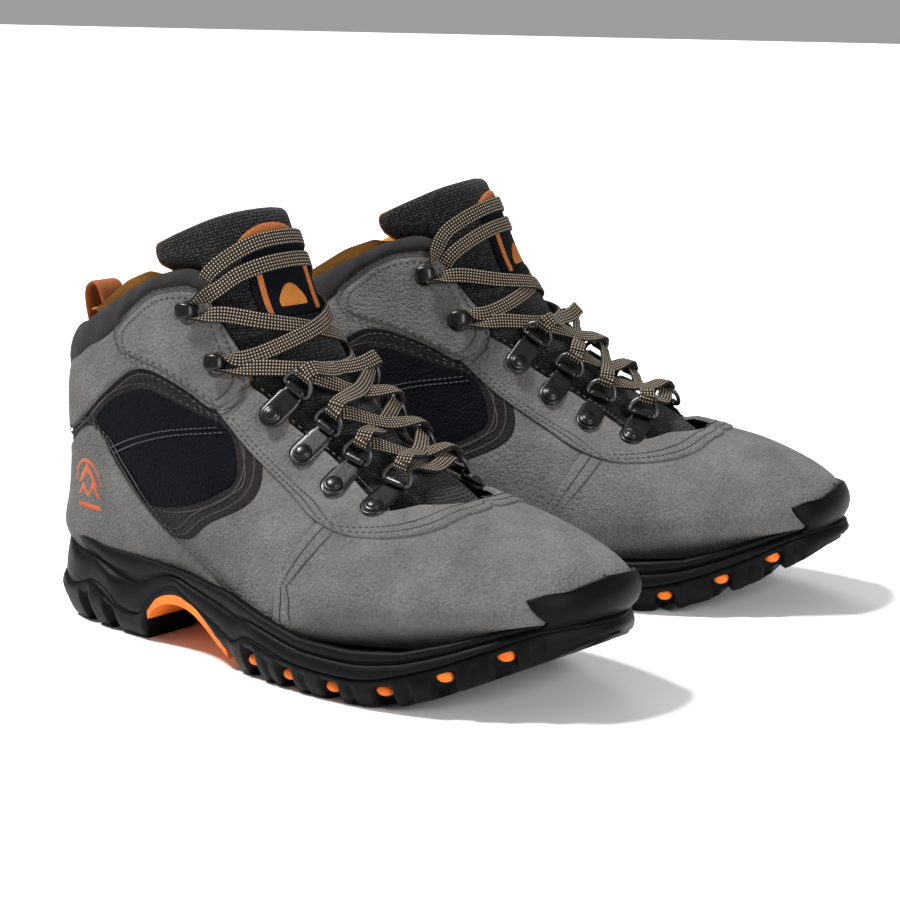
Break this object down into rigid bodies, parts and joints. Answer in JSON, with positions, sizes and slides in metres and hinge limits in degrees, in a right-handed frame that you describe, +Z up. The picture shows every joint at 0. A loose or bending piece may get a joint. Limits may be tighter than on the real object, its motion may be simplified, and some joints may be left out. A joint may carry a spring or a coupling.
{
  "type": "hiking boots",
  "caption": "Pair of mid-height lace-up hiking boots with swinging D-ring eyelets, speed hooks, padded collar, pull loop and lugged sole.",
  "frame": {"origin": "on the ground plane, under the middle of the pair's bounding box", "axes": "+Z up, toes point along -Y, the right boot stands on the -X side and the left boot on the +X side"},
  "size_m": [0.3098, 0.3088, 0.19],
  "materials": {
    "tread_rubber": "satin moulded rubber",
    "orange_plastic": "satin moulded plastic",
    "midsole_foam": "matte moulded foam",
    "toe_rubber": "matte rubber",
    "board": "pressed fibre board",
    "footbed_foam": "fabric-covered foam",
    "grey_leather": "nubuck",
    "dark_leather": "nubuck",
    "brown_trim": "matte textile trim",
    "collar_textile": "ribbed textile",
    "gold_lining": "spacer mesh",
    "tongue_mesh": "coarse mesh",
    "orange_webbing": "woven webbing",
    "black_metal": "satin black",
    "lace_cord": "flat checker weave"
  },
  "bodies": {
    "right_boot": {"right_outsole": "tread_rubber", "right_arch_shank": "orange_plastic", "right_lug_plugs": "orange_plastic", "right_midsole": "midsole_foam", "right_toe_bumper": "toe_rubber", "right_insole_board": "board", "right_footbed": "footbed_foam", "right_vamp": "grey_leather", "right_quarter": "grey_leather", "right_eyestay": "grey_leather", "right_ankle_overlay": "grey_leather", "right_side_panels": "dark_leather", "right_side_panel_trim": "brown_trim", "right_heel_counter": "grey_leather", "right_padded_collar": "collar_textile", "right_lining": "gold_lining", "right_tongue": "tongue_mesh", "right_pull_loop": "orange_webbing", "right_ring_clips": "black_metal", "right_clip_rivets": "black_metal", "right_speed_hooks": "black_metal", "right_lace": "lace_cord"},
    "left_boot": {"left_outsole": "tread_rubber", "left_arch_shank": "orange_plastic", "left_lug_plugs": "orange_plastic", "left_midsole": "midsole_foam", "left_toe_bumper": "toe_rubber", "left_insole_board": "board", "left_footbed": "footbed_foam", "left_vamp": "grey_leather", "left_quarter": "grey_leather", "left_eyestay": "grey_leather", "left_ankle_overlay": "grey_leather", "left_side_panels": "dark_leather", "left_side_panel_trim": "brown_trim", "left_heel_counter": "grey_leather", "left_padded_collar": "collar_textile", "left_lining": "gold_lining", "left_tongue": "tongue_mesh", "left_pull_loop": "orange_webbing", "left_ring_clips": "black_metal", "left_clip_rivets": "black_metal", "left_speed_hooks": "black_metal", "left_lace": "lace_cord"},
    "right_ring_lateral_1": {"right_ring_lateral_1": "black_metal"},
    "right_ring_lateral_2": {"right_ring_lateral_2": "black_metal"},
    "right_ring_lateral_3": {"right_ring_lateral_3": "black_metal"},
    "right_ring_lateral_4": {"right_ring_lateral_4": "black_metal"},
    "right_ring_medial_1": {"right_ring_medial_1": "black_metal"},
    "right_ring_medial_2": {"right_ring_medial_2": "black_metal"},
    "right_ring_medial_3": {"right_ring_medial_3": "black_metal"},
    "right_ring_medial_4": {"right_ring_medial_4": "black_metal"},
    "left_ring_lateral_1": {"left_ring_lateral_1": "black_metal"},
    "left_ring_lateral_2": {"left_ring_lateral_2": "black_metal"},
    "left_ring_lateral_3": {"left_ring_lateral_3": "black_metal"},
    "left_ring_lateral_4": {"left_ring_lateral_4": "black_metal"},
    "left_ring_medial_1": {"left_ring_medial_1": "black_metal"},
    "left_ring_medial_2": {"left_ring_medial_2": "black_metal"},
    "left_ring_medial_3": {"left_ring_medial_3": "black_metal"},
    "left_ring_medial_4": {"left_ring_medial_4": "black_metal"}
  },
  "joints": [
    {"name": "left_boot_lift", "type": "slide", "parent": "right_boot", "child": "left_boot", "axis": [0, 0, 1], "range_m": [0, 0.12]},
    {"name": "right_ring_lateral_1_swing", "type": "hinge", "parent": "right_boot", "child": "right_ring_lateral_1", "pos_m": [-0.11537, -0.04507, 0.0851], "axis": [-0.1017, -0.9697, -0.222], "range_deg": [-12, 50], "deforming": ["right_lace"]},
    {"name": "right_ring_lateral_2_swing", "type": "hinge", "parent": "right_boot", "child": "right_ring_lateral_2", "pos_m": [-0.11394, -0.02509, 0.09257], "axis": [-0.0712, -0.9449, -0.3195], "range_deg": [-12, 50], "deforming": ["right_lace"]},
    {"name": "right_ring_lateral_3_swing", "type": "hinge", "parent": "right_boot", "child": "right_ring_lateral_3", "pos_m": [-0.11069, -0.00909, 0.10379], "axis": [-0.0941, -0.8838, -0.4582], "range_deg": [-12, 50], "deforming": ["right_lace"]},
    {"name": "right_ring_lateral_4_swing", "type": "hinge", "parent": "right_boot", "child": "right_ring_lateral_4", "pos_m": [-0.10952, 0.00647, 0.1183], "axis": [0.0431, -0.8246, -0.564], "range_deg": [-12, 50], "deforming": ["right_lace"]},
    {"name": "right_ring_medial_1_swing", "type": "hinge", "parent": "right_boot", "child": "right_ring_medial_1", "pos_m": [-0.07528, -0.05163, 0.0851], "axis": [0.2129, 0.9515, 0.222], "range_deg": [-12, 50], "deforming": ["right_lace"]},
    {"name": "right_ring_medial_2_swing", "type": "hinge", "parent": "right_boot", "child": "right_ring_medial_2", "pos_m": [-0.07027, -0.03224, 0.09257], "axis": [0.2339, 0.9183, 0.3195], "range_deg": [-12, 50], "deforming": ["right_lace"]},
    {"name": "right_ring_medial_3_swing", "type": "hinge", "parent": "right_boot", "child": "right_ring_medial_3", "pos_m": [-0.06824, -0.01604, 0.10379], "axis": [0.1927, 0.8677, 0.4582], "range_deg": [-12, 50], "deforming": ["right_lace"]},
    {"name": "right_ring_medial_4_swing", "type": "hinge", "parent": "right_boot", "child": "right_ring_medial_4", "pos_m": [-0.06439, -0.00092, 0.1183], "axis": [0.3039, 0.7678, 0.564], "range_deg": [-12, 50], "deforming": ["right_lace"]},
    {"name": "left_ring_lateral_1_swing", "type": "hinge", "parent": "left_boot", "child": "left_ring_lateral_1", "pos_m": [0.11537, -0.05757, 0.0851], "axis": [-0.1017, 0.9697, 0.222], "range_deg": [-12, 50], "deforming": ["left_lace"]},
    {"name": "left_ring_lateral_2_swing", "type": "hinge", "parent": "left_boot", "child": "left_ring_lateral_2", "pos_m": [0.11394, -0.03759, 0.09257], "axis": [-0.0712, 0.9449, 0.3195], "range_deg": [-12, 50], "deforming": ["left_lace"]},
    {"name": "left_ring_lateral_3_swing", "type": "hinge", "parent": "left_boot", "child": "left_ring_lateral_3", "pos_m": [0.11069, -0.02159, 0.10379], "axis": [-0.0941, 0.8838, 0.4582], "range_deg": [-12, 50], "deforming": ["left_lace"]},
    {"name": "left_ring_lateral_4_swing", "type": "hinge", "parent": "left_boot", "child": "left_ring_lateral_4", "pos_m": [0.10952, -0.00603, 0.1183], "axis": [0.0431, 0.8246, 0.564], "range_deg": [-12, 50], "deforming": ["left_lace"]},
    {"name": "left_ring_medial_1_swing", "type": "hinge", "parent": "left_boot", "child": "left_ring_medial_1", "pos_m": [0.07528, -0.06413, 0.0851], "axis": [0.2129, -0.9515, -0.222], "range_deg": [-12, 50], "deforming": ["left_lace"]},
    {"name": "left_ring_medial_2_swing", "type": "hinge", "parent": "left_boot", "child": "left_ring_medial_2", "pos_m": [0.07027, -0.04474, 0.09257], "axis": [0.2339, -0.9183, -0.3195], "range_deg": [-12, 50], "deforming": ["left_lace"]},
    {"name": "left_ring_medial_3_swing", "type": "hinge", "parent": "left_boot", "child": "left_ring_medial_3", "pos_m": [0.06824, -0.02854, 0.10379], "axis": [0.1927, -0.8677, -0.4582], "range_deg": [-12, 50], "deforming": ["left_lace"]},
    {"name": "left_ring_medial_4_swing", "type": "hinge", "parent": "left_boot", "child": "left_ring_medial_4", "pos_m": [0.06439, -0.01342, 0.1183], "axis": [0.3039, -0.7678, -0.564], "range_deg": [-12, 50], "deforming": ["left_lace"]}
  ]
}
